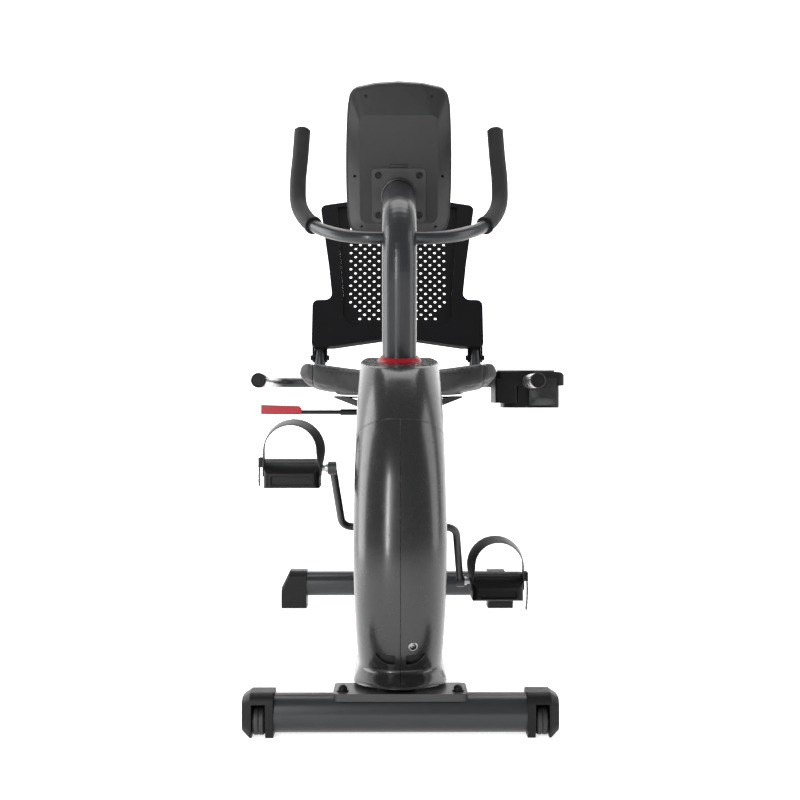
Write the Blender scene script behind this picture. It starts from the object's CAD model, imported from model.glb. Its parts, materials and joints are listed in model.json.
import json
import math
import bpy
import bmesh
from mathutils import Matrix, Vector
from mathutils.bvhtree import BVHTree

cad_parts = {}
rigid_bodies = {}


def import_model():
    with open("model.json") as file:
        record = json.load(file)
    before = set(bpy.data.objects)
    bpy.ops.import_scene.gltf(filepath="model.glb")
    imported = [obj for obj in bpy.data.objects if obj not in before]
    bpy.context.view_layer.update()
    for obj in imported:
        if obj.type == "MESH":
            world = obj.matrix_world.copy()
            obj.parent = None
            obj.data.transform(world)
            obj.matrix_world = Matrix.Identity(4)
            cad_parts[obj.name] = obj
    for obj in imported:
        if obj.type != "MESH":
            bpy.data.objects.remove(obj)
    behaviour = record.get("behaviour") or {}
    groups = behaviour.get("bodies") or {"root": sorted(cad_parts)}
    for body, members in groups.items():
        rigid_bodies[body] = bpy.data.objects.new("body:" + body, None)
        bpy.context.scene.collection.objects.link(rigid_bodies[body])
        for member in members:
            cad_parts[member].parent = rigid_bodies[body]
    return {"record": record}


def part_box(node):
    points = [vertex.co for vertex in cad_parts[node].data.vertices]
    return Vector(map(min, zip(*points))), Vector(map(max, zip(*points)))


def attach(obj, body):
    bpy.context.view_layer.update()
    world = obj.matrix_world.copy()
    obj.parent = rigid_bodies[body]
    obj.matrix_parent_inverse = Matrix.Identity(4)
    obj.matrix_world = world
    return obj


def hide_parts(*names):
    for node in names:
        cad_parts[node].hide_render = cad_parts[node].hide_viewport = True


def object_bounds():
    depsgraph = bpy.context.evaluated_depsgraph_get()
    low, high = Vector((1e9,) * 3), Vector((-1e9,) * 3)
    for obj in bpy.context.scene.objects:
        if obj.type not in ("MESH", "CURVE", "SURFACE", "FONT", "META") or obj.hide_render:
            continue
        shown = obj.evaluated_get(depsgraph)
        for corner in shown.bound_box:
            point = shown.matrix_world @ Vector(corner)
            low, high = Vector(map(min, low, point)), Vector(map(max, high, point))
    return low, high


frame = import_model()
cad_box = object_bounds()

MM = 0.001
LEFT, RIGHT = 1, -1         # the rider's sides: left is +X
FRONT = cad_box[0].y
MID = (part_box("seat_rail")[0].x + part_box("seat_rail")[1].x) / 2


def joint_place(name):
    """Where a joint sits, in the row frame."""
    for joint in frame["record"]["behaviour"]["joints"]:
        if joint["name"] == name:
            return Vector(joint["pos_m"])
    raise KeyError(name)


def at(x, y, z):
    """A point given in mm from the middle plane, the bike's front and the floor."""
    return Vector((MID + x * MM, FRONT + y * MM, z * MM))


# ---------- materials ----------

class Shader:
    """A small helper that adds and joins shader nodes in one material."""

    def __init__(self, name):
        self.material = bpy.data.materials.new(name)
        self.material.use_nodes = True
        self.nodes = self.material.node_tree.nodes
        self.links = self.material.node_tree.links
        self.principled = self.nodes["Principled BSDF"]

    def add(self, kind, **settings):
        node = self.nodes.new(kind)
        for key, value in settings.items():
            setattr(node, key, value)
        return node

    def join(self, output, target):
        self.links.new(output, target)

    def coordinates(self, stretch=(1, 1, 1)):
        place = self.add("ShaderNodeTexCoord")
        mapping = self.add("ShaderNodeMapping")
        mapping.inputs["Scale"].default_value = stretch
        self.join(place.outputs["Object"], mapping.inputs["Vector"])
        return mapping.outputs["Vector"]

    def noise(self, scale, detail=4.0, stretch=(1, 1, 1)):
        node = self.add("ShaderNodeTexNoise")
        node.inputs["Scale"].default_value = scale
        node.inputs["Detail"].default_value = detail
        self.join(self.coordinates(stretch), node.inputs["Vector"])
        return node.outputs["Fac"]

    def cells(self, scale, stretch=(1, 1, 1)):
        node = self.add("ShaderNodeTexVoronoi")
        node.inputs["Scale"].default_value = scale
        self.join(self.coordinates(stretch), node.inputs["Vector"])
        return node.outputs["Distance"]

    def ranged(self, value, low, high, start=0.0, end=1.0):
        node = self.add("ShaderNodeMapRange")
        node.inputs["From Min"].default_value = start
        node.inputs["From Max"].default_value = end
        node.inputs["To Min"].default_value = low
        node.inputs["To Max"].default_value = high
        self.join(value, node.inputs["Value"])
        return node.outputs["Result"]

    def product(self, first, second):
        node = self.add("ShaderNodeMath", operation="MULTIPLY", use_clamp=True)
        self.join(first, node.inputs[0])
        self.join(second, node.inputs[1])
        return node.outputs["Value"]

    def mixed(self, factor, first, second):
        node = self.add("ShaderNodeMix", data_type="RGBA")
        self.join(factor, node.inputs["Factor"])
        for name, value in (("A", first), ("B", second)):
            socket = [s for s in node.inputs if s.name == name and s.type == "RGBA"][0]
            if isinstance(value, tuple):
                socket.default_value = value
            else:
                self.join(value, socket)
        return [s for s in node.outputs if s.type == "RGBA"][0]

    def rounded_edges(self, radius):
        node = self.add("ShaderNodeBevel", samples=4)
        node.inputs["Radius"].default_value = radius
        return node.outputs["Normal"]

    def edge_mask(self, rounded):
        """1 on sharp edges, 0 on open faces."""
        geometry = self.add("ShaderNodeNewGeometry")
        dot = self.add("ShaderNodeVectorMath", operation="DOT_PRODUCT")
        self.join(rounded, dot.inputs[0])
        self.join(geometry.outputs["Normal"], dot.inputs[1])
        return self.ranged(dot.outputs["Value"], 1.0, 0.0, 0.75, 0.98)

    def bump(self, height, strength, distance, normal=None):
        node = self.add("ShaderNodeBump")
        node.inputs["Strength"].default_value = strength
        node.inputs["Distance"].default_value = distance
        self.join(height, node.inputs["Height"])
        if normal is not None:
            self.join(normal, node.inputs["Normal"])
        return node.outputs["Normal"]


def shade(colour, factor):
    return tuple(min(1.0, channel * factor) for channel in colour) + (1.0,)


def surface(name, colour, rough, metal=0.0, grain=900, depth=0.15, tint=0.18, edge=0.0008,
            wear=1.5, coat=0.0, stretch=(1, 1, 1), pattern="noise", specular=0.5):
    """A solid finish: drifting colour, grain, uneven gloss, rounded and rubbed edges."""
    s = Shader(name)
    drift = s.noise(7.0, 5.0)
    base = s.mixed(drift, shade(colour, 1 - tint), shade(colour, 1 + tint))
    rounded = s.rounded_edges(edge)
    rub = s.product(s.edge_mask(rounded), s.ranged(s.noise(45.0), 0.15, 0.75, 0.35, 0.7))
    s.join(s.mixed(rub, base, shade(colour, wear)), s.principled.inputs["Base Color"])
    fine = s.cells(grain, stretch) if pattern == "cells" else s.noise(grain, 3.0, stretch)
    s.join(s.ranged(s.noise(60.0, 6.0), rough - 0.05, rough + 0.07), s.principled.inputs["Roughness"])
    s.join(s.bump(fine, depth, 0.0004, rounded), s.principled.inputs["Normal"])
    s.principled.inputs["Metallic"].default_value = metal
    s.principled.inputs["Coat Weight"].default_value = coat
    s.principled.inputs["Coat Roughness"].default_value = 0.12
    s.principled.inputs["Specular IOR Level"].default_value = specular
    return s.material


def leatherette(name, colour):
    """Soft vinyl cover: pebbled grain over slow puckers."""
    s = Shader(name)
    drift = s.noise(9.0, 5.0)
    pebble = s.cells(620)
    base = s.mixed(drift, shade(colour, 0.8), shade(colour, 1.25))
    worn = s.mixed(s.ranged(pebble, 0.0, 0.5, 0.1, 0.9), base, shade(colour, 0.6))
    s.join(worn, s.principled.inputs["Base Color"])
    s.join(s.ranged(s.noise(40.0, 5.0), 0.42, 0.6), s.principled.inputs["Roughness"])
    slow = s.bump(s.noise(28.0, 3.0), 0.25, 0.003)
    s.join(s.bump(pebble, 0.35, 0.0005, slow), s.principled.inputs["Normal"])
    s.principled.inputs["Sheen Weight"].default_value = 0.08
    return s.material


MATERIALS = {
    "frame_paint": surface("frame_paint", (0.022, 0.023, 0.026), 0.30, metal=0.1, grain=1500,
                           depth=0.04, coat=0.15, wear=1.4, specular=0.35),
    "dark_paint": surface("dark_paint", (0.016, 0.016, 0.017), 0.42, grain=1200, depth=0.08,
                          coat=0.1, wear=2.2),
    "shroud_plastic": surface("shroud_plastic", (0.013, 0.0132, 0.014), 0.25, grain=1700,
                              depth=0.015, coat=0.15, edge=0.0012, wear=1.1, tint=0.08),
    "black_plastic": surface("black_plastic", (0.006, 0.006, 0.0065), 0.46, grain=1300,
                             depth=0.16, pattern="cells", edge=0.0012, wear=2.4, specular=0.2),
    "console_plastic": surface("console_plastic", (0.014, 0.014, 0.015), 0.48, grain=1300,
                               depth=0.2, pattern="cells", edge=0.003, wear=1.8, specular=0.4),
    "back_plastic": surface("back_plastic", (0.008, 0.008, 0.009), 0.44, grain=1200,
                            depth=0.16, pattern="cells", edge=0.0015, wear=2.2, specular=0.06),
    "red_plastic": surface("red_plastic", (0.36, 0.006, 0.016), 0.34, grain=1100, depth=0.07,
                           tint=0.12, coat=0.1, wear=1.3, specular=0.25),
    "lens": surface("lens", (0.006, 0.008, 0.010), 0.08, grain=400, depth=0.01, wear=1.4,
                    coat=0.6),
    "button_rubber": surface("button_rubber", (0.33, 0.33, 0.34), 0.55, grain=900, depth=0.1,
                             tint=0.08, wear=1.1),
    "foam_grip": surface("foam_grip", (0.008, 0.008, 0.008), 0.72, grain=520, depth=0.5,
                         pattern="cells", edge=0.002, wear=1.8),
    "pulse_metal": surface("pulse_metal", (0.60, 0.59, 0.57), 0.26, metal=1.0, grain=240,
                           depth=0.08, stretch=(8, 1, 8), tint=0.06, wear=1.15),
    "steel": surface("steel", (0.45, 0.45, 0.46), 0.3, metal=1.0, grain=300, depth=0.08,
                     stretch=(1, 8, 8), tint=0.1, wear=1.2),
    "cast": surface("cast", (0.10, 0.10, 0.105), 0.5, metal=1.0, grain=500, depth=0.3,
                    wear=1.8),
    "belt_rubber": surface("belt_rubber", (0.010, 0.010, 0.010), 0.7, grain=300, depth=0.3,
                           stretch=(6, 1, 1)),
    "wheel_rubber": surface("wheel_rubber", (0.016, 0.016, 0.017), 0.55, grain=800,
                            depth=0.25, wear=2.4),
    "nylon": surface("nylon", (0.55, 0.53, 0.48), 0.45, grain=700, depth=0.1, tint=0.06,
                     wear=1.1),
    "rail_alu": surface("rail_alu", (0.60, 0.61, 0.62), 0.3, metal=1.0, grain=260, depth=0.1,
                        stretch=(8, 1, 8), tint=0.06, wear=1.15),
    "strap_rubber": surface("strap_rubber", (0.024, 0.024, 0.025), 0.42, grain=700,
                            depth=0.2, edge=0.001, wear=2.0),
    "bolt_black": surface("bolt_black", (0.010, 0.010, 0.011), 0.35, metal=0.3, grain=1000,
                          depth=0.08, wear=2.6, specular=0.25),
    "cushion_cover": leatherette("cushion_cover", (0.030, 0.030, 0.032)),
}


def finish_cad_nodes():
    """Give each CAD node the material of its slot."""
    for part in frame["record"]["subparts"]:
        mesh = bpy.data.objects[part["node"]].data
        mesh.materials.clear()
        mesh.materials.append(MATERIALS[part["material_slot"]])


# ---------- mesh helpers ----------

SHARP = math.radians(32)

def smooth_by_angle(mesh, angle=SHARP):
    """Smooth shading with edges kept sharp above an angle."""
    b = bmesh.new()
    b.from_mesh(mesh)
    bmesh.ops.recalc_face_normals(b, faces=b.faces)
    for face in b.faces:
        face.smooth = True
    for edge in b.edges:
        if len(edge.link_faces) == 2 and edge.calc_face_angle(0.0) > angle:
            edge.smooth = False
    b.to_mesh(mesh)
    b.free()


def new_piece(name, verts, faces, body, material, replaces=()):
    """A mesh piece that rides on a body and may stand for some CAD nodes."""
    mesh = bpy.data.meshes.new(name)
    mesh.from_pydata([tuple(v) for v in verts], [], faces)
    mesh.update()
    piece = bpy.data.objects.new(name, mesh)
    bpy.context.scene.collection.objects.link(piece)
    smooth_by_angle(mesh)
    dress(piece, body, material, replaces)
    return piece


def dress(piece, body, material, replaces=()):
    """Set a piece's material and the body that it rides on."""
    piece.data.materials.clear()
    piece.data.materials.append(MATERIALS[material])
    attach(piece, body)
    if replaces:
        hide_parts(*replaces)


def apply_modifiers(piece):
    """Bake the modifier stack into the piece's mesh."""
    graph = bpy.context.evaluated_depsgraph_get()
    mesh = bpy.data.meshes.new_from_object(piece.evaluated_get(graph))
    piece.modifiers.clear()
    old = piece.data
    piece.data = mesh
    bpy.data.meshes.remove(old)


def joined(*parts):
    """Put (verts, faces) parts into one list of each."""
    verts, faces = [], []
    for part_verts, part_faces in parts:
        shift = len(verts)
        verts.extend(part_verts)
        faces.extend([tuple(i + shift for i in face) for face in part_faces])
    return verts, faces


def catmull(points, steps=8):
    """A smooth curve through the points."""
    points = [Vector(p) for p in points]
    out = []
    for i in range(len(points) - 1):
        before = points[max(i - 1, 0)]
        a, b = points[i], points[i + 1]
        after = points[min(i + 2, len(points) - 1)]
        for k in range(steps):
            t = k / steps
            out.append(0.5 * (2 * a + (b - before) * t
                              + (2 * before - 5 * a + 4 * b - after) * t * t
                              + (3 * a - before - 3 * b + after) * t ** 3))
    return out + [points[-1]]


def circle(place, u, v, radius, sides):
    """Points of a circle that lies in the plane of the directions u and v."""
    return [place + radius * (math.cos(a) * u + math.sin(a) * v)
            for a in (2 * math.pi * k / sides for k in range(sides))]


def tube(path, radius, sides=40, round_end=0.0):
    """A round bar along a path; the radius may change along it, and the ends may be rounded."""
    path = [Vector(p) for p in path]
    size = radius if callable(radius) else (lambda share: radius)
    tangents = [(path[min(i + 1, len(path) - 1)] - path[max(i - 1, 0)]).normalized()
                for i in range(len(path))]
    normal = tangents[0].orthogonal().normalized()
    lengths = [0.0]
    for a, b in zip(path, path[1:]):
        lengths.append(lengths[-1] + (b - a).length)
    stations = []
    for i, (place, tangent) in enumerate(zip(path, tangents)):
        normal = (normal - tangent * normal.dot(tangent)).normalized()
        stations.append((place, normal, tangent.cross(normal), size(lengths[i] / lengths[-1])))
    rings = [circle(place, u, v, r, sides) for place, u, v, r in stations]
    if round_end:
        first, last = [], []
        for cap, outward, station in ((first, -tangents[0], stations[0]),
                                      (last, tangents[-1], stations[-1])):
            place, u, v, r = station
            for step in range(1, 5):
                turn = step * math.pi / 8
                shrink = r - round_end * (1 - math.cos(turn))
                cap.append(circle(place + outward * round_end * math.sin(turn), u, v, shrink, sides))
        rings = first[::-1] + rings + last
    return skin(rings)


def skin(rings, closed=True, caps=True):
    """Quads between rings of equal length."""
    count = len(rings[0])
    verts = [p for ring in rings for p in ring]
    faces = []
    around = count if closed else count - 1
    for i in range(len(rings) - 1):
        for k in range(around):
            a, b = i * count + k, i * count + (k + 1) % count
            faces.append((a, b, b + count, a + count))
    if caps:
        faces.append(tuple(range(count))[::-1])
        faces.append(tuple((len(rings) - 1) * count + k for k in range(count)))
    return verts, faces


POINT = 1e-5                # the radius that stands for a point on the axis, in metres


def lathe(profile, centre, axis, sides=48):
    """A solid of revolution: profile is (distance along the axis, radius) from end to end."""
    axis = Vector(axis).normalized()
    u = axis.orthogonal().normalized()
    v = axis.cross(u)
    return skin([circle(Vector(centre) + axis * s, u, v, max(r, POINT), sides) for s, r in profile])


def prism(points, axis, start, end):
    """An outline pushed along an axis: (y, z) points along x, or (x, z) points along y, in mm."""
    if axis == "x":
        ends = [[at(d, a, b) for a, b in points] for d in (start, end)]
    else:
        ends = [[at(a, d, b) for a, b in points] for d in (start, end)]
    return skin(ends)


def block(centre, size, bevel, turn=None):
    """A box with rounded edges, in metres."""
    b = bmesh.new()
    bmesh.ops.create_cube(b, size=1.0)
    bmesh.ops.scale(b, vec=size, verts=b.verts)
    bmesh.ops.bevel(b, geom=list(b.edges), offset=bevel, segments=3, affect="EDGES", profile=0.5)
    matrix = Matrix.Translation(centre) @ (turn or Matrix.Identity(4))
    verts = [matrix @ v.co for v in b.verts]
    faces = [tuple(v.index for v in f.verts) for f in b.faces]
    b.free()
    return verts, faces


def cut(piece, shape, operation="DIFFERENCE"):
    """Cut a piece with a closed shape, or keep what is inside it."""
    verts, faces = shape
    mesh = bpy.data.meshes.new("cutter")
    mesh.from_pydata([tuple(v) for v in verts], [], faces)
    b = bmesh.new()
    b.from_mesh(mesh)
    bmesh.ops.recalc_face_normals(b, faces=b.faces)
    b.to_mesh(mesh)
    b.free()
    cutter = bpy.data.objects.new("cutter", mesh)
    bpy.context.scene.collection.objects.link(cutter)
    modifier = piece.modifiers.new("cut", "BOOLEAN")
    modifier.operation = operation
    modifier.solver = "EXACT"
    modifier.object = cutter
    apply_modifiers(piece)
    bpy.data.objects.remove(cutter)
    bpy.data.meshes.remove(mesh)


def in_metres(profile):
    return [(s * MM, r * MM) for s, r in profile]


# ---------- camera, floor and light ----------

CAMERA_DISTANCE = 2.22      # from the bike's front
CAMERA_HEIGHT = 0.579
CAMERA_OFFSET = -0.0145     # sideways from the middle plane
CAMERA_YAW = -0.35          # degrees
LENS = 58.7
FRAMING_SHIFT = -0.0013


def make_camera():
    """The photographer's place, in front of the bike."""
    data = bpy.data.cameras.new("camera")
    data.lens = LENS
    data.sensor_width = 36
    data.shift_y = FRAMING_SHIFT
    camera = bpy.data.objects.new("camera", data)
    camera.location = (MID + CAMERA_OFFSET, FRONT - CAMERA_DISTANCE, CAMERA_HEIGHT)
    camera.rotation_euler = (math.radians(90), 0, math.radians(CAMERA_YAW))
    bpy.context.scene.collection.objects.link(camera)
    bpy.context.scene.camera = camera


def area_light(name, place, aim, size, power):
    data = bpy.data.lights.new(name, "AREA")
    data.shape = "RECTANGLE"
    data.size, data.size_y = size
    data.energy = power
    light = bpy.data.objects.new(name, data)
    light.location = place
    light.rotation_euler = (Vector(aim) - Vector(place)).to_track_quat("-Z", "Y").to_euler()
    bpy.context.scene.collection.objects.link(light)


WORLD_LIGHT = 0.3
FLOOR_GLOW, WALL_GLOW = 0.72, 1.3       # what keeps the studio white


def make_world():
    """An even, dim white surround."""
    world = bpy.data.worlds.new("studio")
    world.use_nodes = True
    back = world.node_tree.nodes["Background"]
    back.inputs["Color"].default_value = (1.0, 1.0, 1.0, 1.0)
    back.inputs["Strength"].default_value = WORLD_LIGHT
    bpy.context.scene.world = world
    bpy.context.scene.view_settings.view_transform = "Standard"


def make_floor():
    """A pale sheet of studio paper under the bike."""
    half = 6.0
    mesh = bpy.data.meshes.new("floor")
    mesh.from_pydata([(-half, -half, 0), (half, -half, 0), (half, half, 0), (-half, half, 0)],
                     [], [(0, 1, 2, 3)])
    floor = bpy.data.objects.new("floor", mesh)
    bpy.context.scene.collection.objects.link(floor)
    s = Shader("studio_paper")
    s.join(s.mixed(s.noise(3.0), (0.9, 0.9, 0.9, 1), (0.94, 0.94, 0.94, 1)),
           s.principled.inputs["Base Color"])
    s.join(s.bump(s.noise(300.0), 0.05, 0.0002), s.principled.inputs["Normal"])
    s.principled.inputs["Roughness"].default_value = 0.7
    s.principled.inputs["Emission Color"].default_value = (1, 1, 1, 1)
    s.principled.inputs["Emission Strength"].default_value = FLOOR_GLOW
    mesh.materials.append(s.material)


def make_backdrop():
    """A white wall far behind the bike."""
    away = 5.0
    half, top = 9.0, 7.0
    mesh = bpy.data.meshes.new("backdrop")
    mesh.from_pydata([(-half, away, -0.01), (half, away, -0.01), (half, away, top),
                      (-half, away, top)], [], [(0, 1, 2, 3)])
    wall = bpy.data.objects.new("backdrop", mesh)
    bpy.context.scene.collection.objects.link(wall)
    s = Shader("backdrop_white")
    s.principled.inputs["Base Color"].default_value = (0.9, 0.9, 0.9, 1)
    s.principled.inputs["Emission Color"].default_value = (1, 1, 1, 1)
    s.principled.inputs["Emission Strength"].default_value = WALL_GLOW
    mesh.materials.append(s.material)


# ---------- shroud ----------

# The covers in mm. Their side view is a run of arcs and lines, given by centre and radius or by
# both ends, from the nose over the brow and the top to the back and the tail.
HALF = 83                   # half width at the widest
NOSE_Y, NOSE_Z, NOSE_R = 440, 300, 432
BROW_Y, BROW_Z, BROW_R = 196.4, 570.5, 68
TOP_START, TOP_END = (189.9, 638.2), (471.9, 664.3)
CORNER_Y, CORNER_Z, CORNER_R = 465, 625, 40
BACK_START, BACK_END = (503.6, 635.4), (622.8, 300.2)
TAIL_ARC_Y, TAIL_ARC_Z, TAIL_ARC_R = 816, 352, 200
TAIL_Y, TAIL_Z, TAIL_HALF = 792, 152, 46
FOOT_Z = 81
FLARE_HALF, FLARE_FRONT, FLARE_TOP = 83, 14, 108
SHELL_WALL = 3
COVER_TOP = 900             # above everything, for cutters
COVER_SIDE = 300            # wider than everything, for cutters
MAST_FOOT_Y, MAST_FOOT_Z = 360, 640
MAST_LEAN = math.radians(10)
DISC_HOLE_R = 116.3         # around the side discs
COLLAR_HOLE_R = 44.5
INLET_X, INLET_Y, INLET_Z = 22, 38.1, 150
INLET_HOLE_R = 5.6
RAIL_Y, RAIL_HALF = 679, 29     # the notch for the seat rail, from here back
SEAM_GAP, CENTRE_GAP = 0.8, 0.35
SIDE_STEPS, NOSE_STEPS, BACK_STEPS = 26, 24, 4
TOP_HEIGHTS = [634, 636.5, 638.5, 640, 642, 644, 646.5, 649, 651.5, 653.5, 655.5,
               657.5, 659.5, 661.2, 662.6, 663.6, 664.2]


def cover_half(z):
    """Half width of the covers at a height."""
    if z < 330:
        return HALF - 3.8 * ((330 - z) / 160) ** 2
    flat = HALF - 5.8 * ((z - 330) / 300) ** 2
    if z < 651.8:
        return flat
    return min(flat, 57 + math.sqrt(max(400 - (z - 645) ** 2, 0)))


def cover_front(z):
    """Front of the side view at a height."""
    if z < 621:
        return NOSE_Y - math.sqrt(NOSE_R ** 2 - (z - NOSE_Z) ** 2)
    if z < TOP_START[1]:
        return BROW_Y - math.sqrt(BROW_R ** 2 - (z - BROW_Z) ** 2)
    share = (z - TOP_START[1]) / (TOP_END[1] - TOP_START[1])
    return TOP_START[0] + share * (TOP_END[0] - TOP_START[0])


def cover_back(z):
    """Back of the side view at a height."""
    if z > BACK_START[1]:
        return CORNER_Y + math.sqrt(max(CORNER_R ** 2 - (z - CORNER_Z) ** 2, 0))
    if z > BACK_END[1]:
        share = (z - BACK_END[1]) / (BACK_START[1] - BACK_END[1])
        return BACK_END[0] + share * (BACK_START[0] - BACK_END[0])
    if z > TAIL_Z + 1:
        return TAIL_ARC_Y - math.sqrt(TAIL_ARC_R ** 2 - (z - TAIL_ARC_Z) ** 2)
    return TAIL_Y


def soft_max(a, b, width):
    """The larger of two values, rounded off where they cross."""
    gap = max(width - abs(a - b), 0) / width
    return max(a, b) + gap * gap * width / 4


def ease(t):
    """0 to 1 with a gentle start and end."""
    t = min(max(t, 0.0), 1.0)
    return t * t * (3 - 2 * t)


def cover_section(z):
    """Half of the plan section at a height, from the middle of the nose to the middle behind."""
    half = cover_half(z)
    back = cover_back(z)
    flare = ease((FLARE_TOP - z) / (FLARE_TOP - FOOT_Z)) ** 1.6
    points = []
    for step in range(NOSE_STEPS + 1):
        turn = math.radians(90 * step / NOSE_STEPS)
        reach = NOSE_R - half + half * math.cos(turn)
        nose = NOSE_Y - math.sqrt(max(reach ** 2 - (z - NOSE_Z) ** 2, 40 ** 2))
        y = min(soft_max(nose, cover_front(z), 9), back - 0.5)
        skirt = (FLARE_HALF * math.sin(turn), FLARE_FRONT + FLARE_HALF * (1 - math.cos(turn)))
        x = half * math.sin(turn)
        points.append((x + (skirt[0] - x) * flare, y + (skirt[1] - y) * flare))
    start = points[-1][1]
    for step in range(1, SIDE_STEPS + 1):
        y = start + (back - start) * step / SIDE_STEPS
        narrow = min(max((y - 540) / (TAIL_Y - 540), 0), 1)
        x = half + (min(half, TAIL_HALF) - half) * narrow
        lip = flare * (1 - ease((y - 430) / 90))
        points.append((x + (FLARE_HALF - x) * lip, y))
    last = points[-1][0]
    for step in range(1, BACK_STEPS + 1):
        points.append((last * (1 - step / BACK_STEPS), back))
    return points


def seam_line(gap):
    """The cover's seam seen from the side, closed upwards."""
    nose, turn, end_y = (74, 552.6), (153, 509), TAIL_Y + 50
    lead = (nose[0] - 118.5, nose[1] + 65.4)
    drop = (end_y - turn[0]) * math.tan(math.radians(6))
    bend = [(turn[0] - 22, turn[1] + 10.4), (turn[0] + 2, turn[1] + 1.5),
            (turn[0] + 40, turn[1] - 3.4)]
    line = [lead] + bend + [(end_y, turn[1] - drop)]
    return [(y, z + gap) for y, z in line] + [(end_y, COVER_TOP), (lead[0], COVER_TOP)]


def mast_axis():
    """The mast's foot and its upward direction."""
    return at(0, MAST_FOOT_Y, MAST_FOOT_Z), Vector((0, -math.sin(MAST_LEAN), math.cos(MAST_LEAN)))


def vent_outline(side):
    """One crescent vent, seen from the front."""
    inner, outer, low, high = 10, 44, 116, 136
    curve = [(inner + (outer - inner) * t, low + (high - low) * t ** 3)
             for t in (0.88, 0.76, 0.62, 0.46, 0.3, 0.15, 0)]
    return [(side * x, z) for x, z in [(inner, high - 3), (outer, high)] + curve]


def cover_shell():
    """The whole hollow cover with its openings, before it's parted along the seams."""
    heights = [FOOT_Z + 1.5 * i for i in range(20)]
    heights += [112 + 11.6 * i for i in range(45)]
    heights += TOP_HEIGHTS
    rings = []
    for z in heights:
        section = cover_section(z)
        loop = section + [(-x, y) for x, y in section[-2:0:-1]]
        rings.append([at(x, y, z) for x, y in loop])
    verts, faces = skin(rings, caps=False)
    count = len(rings[0])
    faces.append(tuple((len(rings) - 1) * count + k for k in range(count)))
    mesh = bpy.data.meshes.new("shell")
    mesh.from_pydata([tuple(v) for v in verts], [], faces)
    shell = bpy.data.objects.new("shell", mesh)
    bpy.context.scene.collection.objects.link(shell)
    smooth_by_angle(mesh)
    thick = shell.modifiers.new("wall", "SOLIDIFY")
    thick.thickness = SHELL_WALL * MM
    thick.offset = -1
    apply_modifiers(shell)
    disc = in_metres([(-200, DISC_HOLE_R), (200, DISC_HOLE_R)])
    cut(shell, lathe(disc, joint_place("crank_spin"), (1, 0, 0), 96))
    cut(shell, lathe(in_metres([(0, COLLAR_HOLE_R), (100, COLLAR_HOLE_R)]), *mast_axis(), 64))
    for side in (LEFT, RIGHT):
        cut(shell, prism(vent_outline(side), "y", -20, 110))
    inlet = in_metres([(-50, INLET_HOLE_R), (200, INLET_HOLE_R)])
    cut(shell, lathe(inlet, at(INLET_X, 0, INLET_Z), (0, 1, 0), 32))
    notch = [(RAIL_Y, 0), (940, 0), (940, COVER_TOP), (RAIL_Y, COVER_TOP)]
    cut(shell, prism(notch, "x", -RAIL_HALF, RAIL_HALF))
    return shell


def make_covers():
    """The top cover and both shroud halves, parted along their seams."""
    shell = cover_shell()
    whole = [(-60, 0), (1000, 0), (1000, COVER_TOP), (-60, COVER_TOP)]
    pieces = (("cover_top", "top_cover", 0), ("cover_left", "shroud_left", LEFT),
              ("cover_right", "shroud_right", RIGHT))
    for name, node, side in pieces:
        piece = bpy.data.objects.new(name, shell.data.copy())
        bpy.context.scene.collection.objects.link(piece)
        if side == 0:
            cut(piece, prism(seam_line(0), "x", -COVER_SIDE, COVER_SIDE), "INTERSECT")
        else:
            cut(piece, prism(seam_line(-SEAM_GAP), "x", -COVER_SIDE, COVER_SIDE))
            keep = sorted((side * CENTRE_GAP, side * COVER_SIDE))
            cut(piece, prism(whole, "x", *keep), "INTERSECT")
        smooth_by_angle(piece.data)
        dress(piece, "frame", "shroud_plastic", [node])
    bpy.data.objects.remove(shell)


def make_vent_liner():
    """A dark plate behind the crescent vents."""
    size = (100 * MM, 2 * MM, 34 * MM)
    new_piece("vent_liner", *block(at(0, 66, 126), size, 0.5 * MM), "frame", "bolt_black")


def make_inlet_ring():
    """A bright ring that lies on the cover around the inlet."""
    inward = Vector((-0.25, 0.904, 0.35)).normalized()
    rim = [(0.5, 6.0), (-0.9, 6.4), (-1.1, 7.2), (-0.7, 8.0), (0.4, 8.6), (2.0, 8.6), (2.0, 6.0)]
    new_piece("inlet_ring", *lathe(in_metres(rim), at(INLET_X, INLET_Y, INLET_Z), inward),
              "frame", "steel")


# ---------- seat cushion ----------

PUFF = 7 * MM               # the furthest that the sewn cover may swell
SEAM_X = 203 * MM
SEAM_Z = 632 * MM
SEAM_WIDTH, SEAM_DEPTH = 4 * MM, 3.2 * MM
PIPING_R = 1.9 * MM
CUSHION_STEP = 6 * MM
CLOTH_FRAMES = 20
START_SCALE = Vector((0.985, 0.975, 0.93))      # the sewn shape before it swells
EYELET_X, EYELET_PITCH = 112, 11        # the first eyelet and the step, in mm from the middle
EYELET_Z, EYELET_ROW = 636.5, 10
EYELET_SLOPE = 1.1          # the rise from one eyelet to the next
EYELET_PROFILE = [(-1.5, 2.6), (0.2, 2.6), (0.5, 2.2), (-0.8, 1.4), (-0.9, 0)]


def inflate(piece):
    """Swell the cover with cloth pressure, held where it rests on the pan."""
    low = min(v.co.z for v in piece.data.vertices)
    held = piece.vertex_groups.new(name="held")
    held.add([v.index for v in piece.data.vertices if v.co.z < low + 6 * MM], 1.0, "REPLACE")
    cloth = piece.modifiers.new("cloth", "CLOTH")
    cloth.settings.quality = 4
    cloth.settings.use_pressure = True
    cloth.settings.uniform_pressure_force = 4
    cloth.settings.tension_stiffness = 12
    cloth.settings.compression_stiffness = 12
    cloth.settings.bending_stiffness = 0.6
    cloth.settings.vertex_group_mass = "held"
    cloth.settings.effector_weights.gravity = 0
    for number in range(1, CLOTH_FRAMES + 1):
        bpy.context.scene.frame_set(number)
    apply_modifiers(piece)
    bpy.context.scene.frame_set(1)


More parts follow.
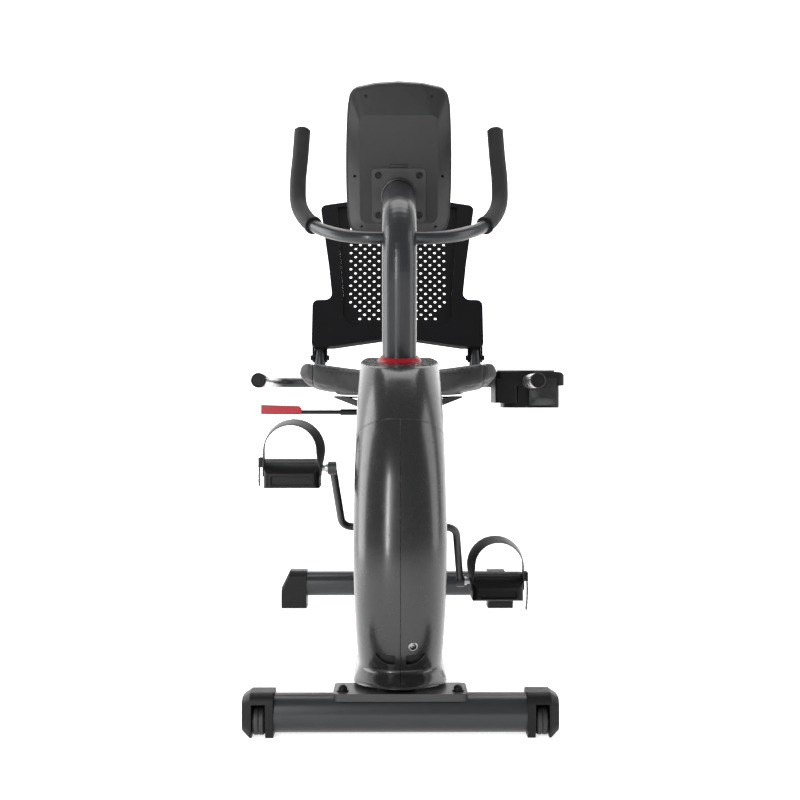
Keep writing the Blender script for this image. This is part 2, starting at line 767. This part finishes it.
def cushion_seams(piece):
    """Pull the cover in along the bolster seams."""
    for v in piece.data.vertices:
        off = (abs(v.co.x - MID) - SEAM_X) / SEAM_WIDTH
        v.co = v.co - v.normal * SEAM_DEPTH * math.exp(-off * off)
    piece.data.update()


def cushion_piping(tree):
    """A round bead along each bolster seam."""
    low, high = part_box("seat_cushion")
    parts = []
    for side in (LEFT, RIGHT):
        centre = Vector((MID + side * SEAM_X, (low.y + high.y) / 2, SEAM_Z))
        path = []
        for step in range(181):
            turn = 2 * math.pi * step / 180
            aim = Vector((0, 0.18 * math.cos(turn), 0.022 * math.sin(turn))).normalized()
            hit = tree.ray_cast(centre, aim)[0]
            if hit:
                path.append(hit + aim * 0.7 * MM)
        parts.append(tube(path, PIPING_R, 12))
    new_piece("cushion_piping", *joined(*parts), "seat", "cushion_cover")


def cushion_eyelets(tree):
    """Two staggered rows of small vents in the front of each side."""
    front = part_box("seat_cushion")[0].y
    eyelets = []
    for side in (LEFT, RIGHT):
        for row in range(2):
            for k in range(6):
                x = EYELET_X + EYELET_PITCH * (k + row / 2)
                z = EYELET_Z + EYELET_ROW * row + EYELET_SLOPE * k
                start = Vector((MID + side * x * MM, front - 50 * MM, z * MM))
                hit, normal = tree.ray_cast(start, Vector((0, 1, 0)))[:2]
                if hit:
                    eyelets.append(lathe(in_metres(EYELET_PROFILE), hit, normal, 16))
    new_piece("cushion_eyelets", *joined(*eyelets), "seat", "bolt_black")


def make_cushion():
    """The sewn and padded seat cushion."""
    low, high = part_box("seat_cushion")
    centre = (low + high) / 2
    mesh = bpy.data.objects["seat_cushion"].data.copy()
    for v in mesh.vertices:
        v.co = centre + (v.co - centre) * START_SCALE
    piece = bpy.data.objects.new("seat_pad", mesh)
    bpy.context.scene.collection.objects.link(piece)
    remesh = piece.modifiers.new("remesh", "REMESH")
    remesh.mode = "VOXEL"
    remesh.voxel_size = CUSHION_STEP
    relax = piece.modifiers.new("relax", "SMOOTH")
    relax.factor = 0.5
    relax.iterations = 6
    apply_modifiers(piece)
    rest = [v.co.copy() for v in piece.data.vertices]
    inflate(piece)
    for v, start in zip(piece.data.vertices, rest):
        move = v.co - start
        if move.length > PUFF:
            v.co = start + move.normalized() * PUFF
    finer = piece.modifiers.new("finer", "SUBSURF")
    finer.levels = finer.render_levels = 1
    apply_modifiers(piece)
    for polygon in piece.data.polygons:
        polygon.use_smooth = True
    dress(piece, "seat", "cushion_cover", ["seat_cushion"])
    cushion_seams(piece)
    b = bmesh.new()
    b.from_mesh(piece.data)
    tree = BVHTree.FromBMesh(b)
    cushion_piping(tree)
    cushion_eyelets(tree)
    b.free()


# ---------- pedal straps ----------

# In mm from the middle plane and, for heights, from the pedal's spindle.
PEDAL_IN, PEDAL_OUT = 152, 257
STRAP_TOP, STRAP_Y, STRAP_W, STRAP_T = 91, -16, 42, 2.4
STRAP_LOW = -14
STRAP_CLEAR = 1.6           # from the pedal's side to the strap's middle
STRAP_LEAN = math.radians(20)
RIB_HEIGHT = 0.5 * MM
TAIL_W, TAIL_T, TAIL_TOP, TAIL_STEP = 20, 2.0, 22, 5
BUCKLE_Z = 12


def strap_path(side, spindle):
    """The strap's middle line from the crank side, over the foot, to the outer side."""
    mid = (PEDAL_IN + PEDAL_OUT) / 2
    r = (PEDAL_OUT - PEDAL_IN) / 2 + STRAP_CLEAR
    arch = STRAP_TOP - STRAP_T - r
    rise = [(mid - r, STRAP_LOW + (arch - STRAP_LOW) * k / 22) for k in range(22)]
    over = [(mid - r * math.cos(math.pi * k / 72), arch + r * math.sin(math.pi * k / 72))
            for k in range(73)]
    fall = [(mid + r, arch + (STRAP_LOW - arch) * k / 22) for k in range(1, 23)]
    return [(Vector((MID + side * x * MM, spindle.y + STRAP_Y * MM, spindle.z + z * MM)),
             x, z) for x, z in rise + over + fall]


def ribbon(points, outward, width, thick, twist):
    """A flat band along points, ribbed outside; it may twist along its length."""
    rings = []
    count = len(points)
    for i, place in enumerate(points):
        tangent = (points[min(i + 1, count - 1)] - points[max(i - 1, 0)]).normalized()
        normal = outward[i]
        normal = (normal - tangent * normal.dot(tangent)).normalized()
        across = tangent.cross(normal)
        if across.y < 0:
            across = -across
        turn = twist(i / (count - 1))
        wide = across * math.cos(turn) + normal * math.sin(turn)
        face = normal * math.cos(turn) - across * math.sin(turn)
        high = thick / 2 + (RIB_HEIGHT if i % 2 else 0)
        low = -thick / 2
        w, lip = width / 2, 0.7 * MM
        ring = [(-w, low + lip), (-w + lip, low), (w - lip, low), (w, low + lip),
                (w, high - lip), (w - 4 * MM, high), (-w + 4 * MM, high), (-w, high - lip)]
        rings.append([place + wide * a + face * b for a, b in ring])
    return skin(rings)


def strap_lean(share):
    """The band leans forward over the foot, and less towards its ends."""
    return STRAP_LEAN * ease(1.25 - share * 1.25) * ease(share * 5)


def no_lean(share):
    return 0.0


def make_strap(name, side, joint, body, node, tail_steps):
    """A pedal's ribbed strap with its buckle and hanging tail."""
    spindle = joint_place(joint)
    line = strap_path(side, spindle)
    points = [place for place, x, z in line]
    mid = (PEDAL_IN + PEDAL_OUT) / 2
    arch = STRAP_TOP - STRAP_T - (PEDAL_OUT - PEDAL_IN) / 2 - STRAP_CLEAR
    outward = [Vector((side * (x - mid), 0, max(z - arch, 0))).normalized() for place, x, z in line]
    strap = ribbon(points, outward, STRAP_W * MM, STRAP_T * MM, strap_lean)
    new_piece(name + "_strap", *strap, body, "strap_rubber", [node])
    outer = MID + side * (PEDAL_OUT + 3.6) * MM
    y = spindle.y + STRAP_Y * MM
    drop = [Vector((outer + side * (4.5 + 2.5 * math.sin(k / 5)) * MM, y - 1 * MM,
                    spindle.z + (TAIL_TOP - TAIL_STEP * k) * MM)) for k in range(tail_steps)]
    sideways = [Vector((side, 0, 0))] * len(drop)
    tail = ribbon(drop, sideways, TAIL_W * MM, TAIL_T * MM, no_lean)
    new_piece(name + "_strap_tail", *tail, body, "strap_rubber")
    frame_z = spindle.z + BUCKLE_Z * MM
    upright, rung = (9 * MM, 3.5 * MM, 18 * MM), (5 * MM, 26 * MM, 3.6 * MM)
    parts = [block((outer + side * 3 * MM, y + w * MM, frame_z), upright, 1 * MM)
             for w in (-13, 13)]
    parts += [block((outer + side * 5.5 * MM, y, frame_z + h * MM), rung, 1 * MM)
              for h in (-7, 7)]
    new_piece(name + "_buckle", *joined(*parts), body, "black_plastic")


# ---------- side handles ----------

HANDLE_X, HANDLE_Z, HANDLE_FRONT = 322, 622, 780
SLEEVE_PROFILE = [(9.5, 13), (9.5, 16.6), (10.5, 17), (80, 17), (81, 16.3), (86, 16.3), (87, 17),
                  (199, 17), (200, 16.4), (200, 13)]
END_CAP_PROFILE = [(9.2, 12), (9.2, 17.4), (2.5, 17.4), (0.6, 16.6), (0.2, 15), (1.4, 14),
                   (1.4, 8), (0.6, 7), (0.6, 0)]


def make_side_grips():
    """Metal pulse sleeves with black end caps."""
    metal, caps = [], []
    for side in (LEFT, RIGHT):
        front = at(side * HANDLE_X, HANDLE_FRONT, HANDLE_Z)
        back = (0, 1, 0)
        metal.append(lathe(in_metres(SLEEVE_PROFILE), front, back))
        caps.append(lathe(in_metres(END_CAP_PROFILE), front, back))
    new_piece("pulse_sleeves", *joined(*metal), "seat", "pulse_metal", ["pulse_grips"])
    new_piece("pulse_end_caps", *joined(*caps), "seat", "black_plastic")


# ---------- console ----------

CONSOLE_TILT = math.radians(18)
WELL_PROFILE = [(-1.0, 7.2), (0.1, 7.2), (0.4, 6.5), (-0.3, 5.4), (-0.6, 2.2), (-0.3, 1.8),
                (-0.6, 0)]
CATCH_SIZE = (38, 6, 7)


def islands(node):
    """The separate lumps of a CAD node, each as a list of points."""
    thing = bpy.data.objects[node]
    b = bmesh.new()
    b.from_mesh(thing.data)
    bmesh.ops.remove_doubles(b, verts=b.verts, dist=0.01 * MM)
    todo, groups = set(b.verts), []
    while todo:
        stack, group = [todo.pop()], []
        while stack:
            v = stack.pop()
            group.append(thing.matrix_world @ v.co)
            for edge in v.link_edges:
                other = edge.other_vert(v)
                if other in todo:
                    todo.remove(other)
                    stack.append(other)
        groups.append(group)
    b.free()
    return groups


def make_console_details():
    """Sunk screw wells and the small catch over the bracket plate."""
    outward = Vector((0, -math.cos(CONSOLE_TILT), -math.sin(CONSOLE_TILT)))
    wells = []
    for group in islands("console_screws"):
        middle = sum(group, Vector()) / len(group)
        reach = max((p - middle).dot(outward) for p in group)
        face = middle + outward * (reach + 0.2 * MM)
        wells.append(lathe(in_metres(WELL_PROFILE), face, outward, 32))
    new_piece("console_screw_wells", *joined(*wells), "frame", "bolt_black")
    low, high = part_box("console_bracket")
    turn = Matrix.Rotation(CONSOLE_TILT, 4, "X")
    centre = Vector((MID, low.y + 3 * MM, high.z + 5 * MM))
    new_piece("console_catch", *block(centre, [size * MM for size in CATCH_SIZE], 1.4 * MM, turn),
              "frame", "console_plastic")


def make_collar():
    """The low red ring between the top cover and the mast."""
    foot, up = mast_axis()
    profile = [(6, 36), (6, 44), (14, 44), (16.5, 43.2), (19, 41.5), (22.5, 38.4), (24, 36.4),
               (24, 34.2), (6, 34.2)]
    new_piece("collar_ring", *lathe(in_metres(profile), foot, up, 96),
              "frame", "red_plastic", ["mast_collar"])


CUP_FROM, CUP_TO, CUP_SWELL = 323, 390, 6


def make_tray_details():
    """The bulged front of the cup and the rolled rim along the tray's top edge."""
    low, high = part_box("accessory_tray")
    front = low.y
    left, right = MID + CUP_FROM * MM, MID + CUP_TO * MM
    rings = []
    for share in (0.0, 0.04, 0.12, 0.3, 0.6, 0.85, 0.95, 1.0):
        z = low.z + 6 * MM + share * (high.z - low.z - 26 * MM)
        swell = (1.0 if 0.1 < share < 0.9 else 0.55) * CUP_SWELL * MM
        bow = [(left + (right - left) * k / 16, front - swell * math.sin(math.pi * k / 16))
               for k in range(17)]
        rings.append([Vector((x, y, z)) for x, y in bow]
                     + [Vector((right, front + 1 * MM, z)), Vector((left, front + 1 * MM, z))])
    new_piece("tray_cup_front", *skin(rings), "seat", "shroud_plastic")
    rim = [Vector((x, front + 1.2 * MM, high.z - 2.2 * MM))
           for x in (low.x + 4 * MM, MID + 320 * MM, high.x - 26 * MM)]
    new_piece("tray_rim", *tube(catmull(rim, 8), 2.4 * MM, 12), "seat", "shroud_plastic")


MAST_END = (0, 588, 1017)   # where the mast meets the bracket plate
MAST_END_TURN = math.radians(72)
WELD_R, WELD_REACH, WELD_RIPPLE, WELD_STEPS = 2.6, 35, 0.7, 144


def make_mast_weld():
    """The bead where the mast meets its bracket plate."""
    along = Vector((0, math.sin(MAST_END_TURN), math.cos(MAST_END_TURN)))
    centre = at(*MAST_END) - along * 4 * MM
    side = Vector((1, 0, 0))
    rise = along.cross(side)
    path = []
    for step in range(WELD_STEPS + 1):
        turn = 2 * math.pi * step / WELD_STEPS
        ripple = WELD_RIPPLE * MM * abs(math.sin(step * math.pi / 4))
        reach = WELD_REACH * MM + ripple
        path.append(centre + (side * math.cos(turn) + rise * math.sin(turn)) * reach)
    new_piece("mast_weld", *tube(path, WELD_R * MM, 10), "frame", "frame_paint")


# ---------- mast and handlebars ----------

BAR_RISE = [(0, 0, 0), (70, 0, 0), (128, 35, 12), (176, 100, 38), (208, 172, 84),
            (214, 206, 140), (210, 222, 200), (206, 232, 262)]
BAR_AT = (343, 896)
BAR_R = 12.7
BAR_STEPS = 10              # curve steps between two points of the bar
GRIP_START = 3              # the point of the bar where the grip starts
GRIP_R = 17.3
GRIP_ROUND = 3.5
RING_PROFILE = [(-5, 13), (-5, 18.2), (-3.5, 19), (1.5, 19), (3, 18), (3, 13)]
PLUG_PROFILE = [(-6, 9), (0.2, 9), (0.2, 7.2), (-1.4, 6.2), (-1.6, 0)]


def rise_points(side):
    return [at(side * x, BAR_AT[0] + dy, BAR_AT[1] + dz) for x, dy, dz in BAR_RISE]


def grip_radius(share):
    """The foam is a little thinner where it meets its ring."""
    return (GRIP_R - 1.2 * max(0.0, 1 - share * 14)) * MM


def make_handlebar():
    """The upper bar with its foam grips, rings and end plugs."""
    points = rise_points(RIGHT)[::-1] + rise_points(LEFT)[1:]
    path = catmull(points, BAR_STEPS)
    new_piece("handlebar_tube", *tube(path, BAR_R * MM, 40), "frame", "frame_paint",
              ["upper_handlebar"])
    grips, rings, plugs = [], [], []
    for side in (LEFT, RIGHT):
        run = catmull(rise_points(side), BAR_STEPS)[GRIP_START * BAR_STEPS:]
        tip, before = run[-1], run[-2]
        along = (tip - before).normalized()
        run[-1] = tip - along * 4 * MM
        grips.append(tube(run, grip_radius, 48, GRIP_ROUND * MM))
        start, ahead = run[0], (run[1] - run[0]).normalized()
        rings.append(lathe(in_metres(RING_PROFILE), start, ahead))
        plugs.append(lathe(in_metres(PLUG_PROFILE), tip, along))
    new_piece("foam_grips", *joined(*grips), "frame", "foam_grip", ["handlebar_grips"])
    new_piece("grip_rings", *joined(*rings), "frame", "black_plastic")
    new_piece("grip_plugs", *joined(*plugs), "frame", "black_plastic")


# ---------- the whole scene ----------

make_camera()
make_world()
make_floor()
area_light("left_soft", (-2.1, 0.1, 1.1), (0, -0.4, 0.6), (1.1, 2.2), 42)
area_light("right_soft", (2.1, -0.4, 1.2), (0, -0.4, 0.6), (0.9, 2.2), 18)
area_light("top_soft", (0, 0.35, 2.7), (0, 0.1, 0.6), (2.0, 1.2), 26)
area_light("front_strip", (-0.78, -2.5, 0.95), (0, -0.65, 0.4), (0.2, 1.6), 28)
make_backdrop()
finish_cad_nodes()
make_handlebar()
make_covers()
make_vent_liner()
make_inlet_ring()
make_cushion()
make_strap("left", LEFT, "pedal_left_spin", "pedal_left", "strap_left", 17)
make_strap("right", RIGHT, "pedal_right_spin", "pedal_right", "strap_right", 12)
make_side_grips()
make_console_details()
make_collar()
make_tray_details()
make_mast_weld()
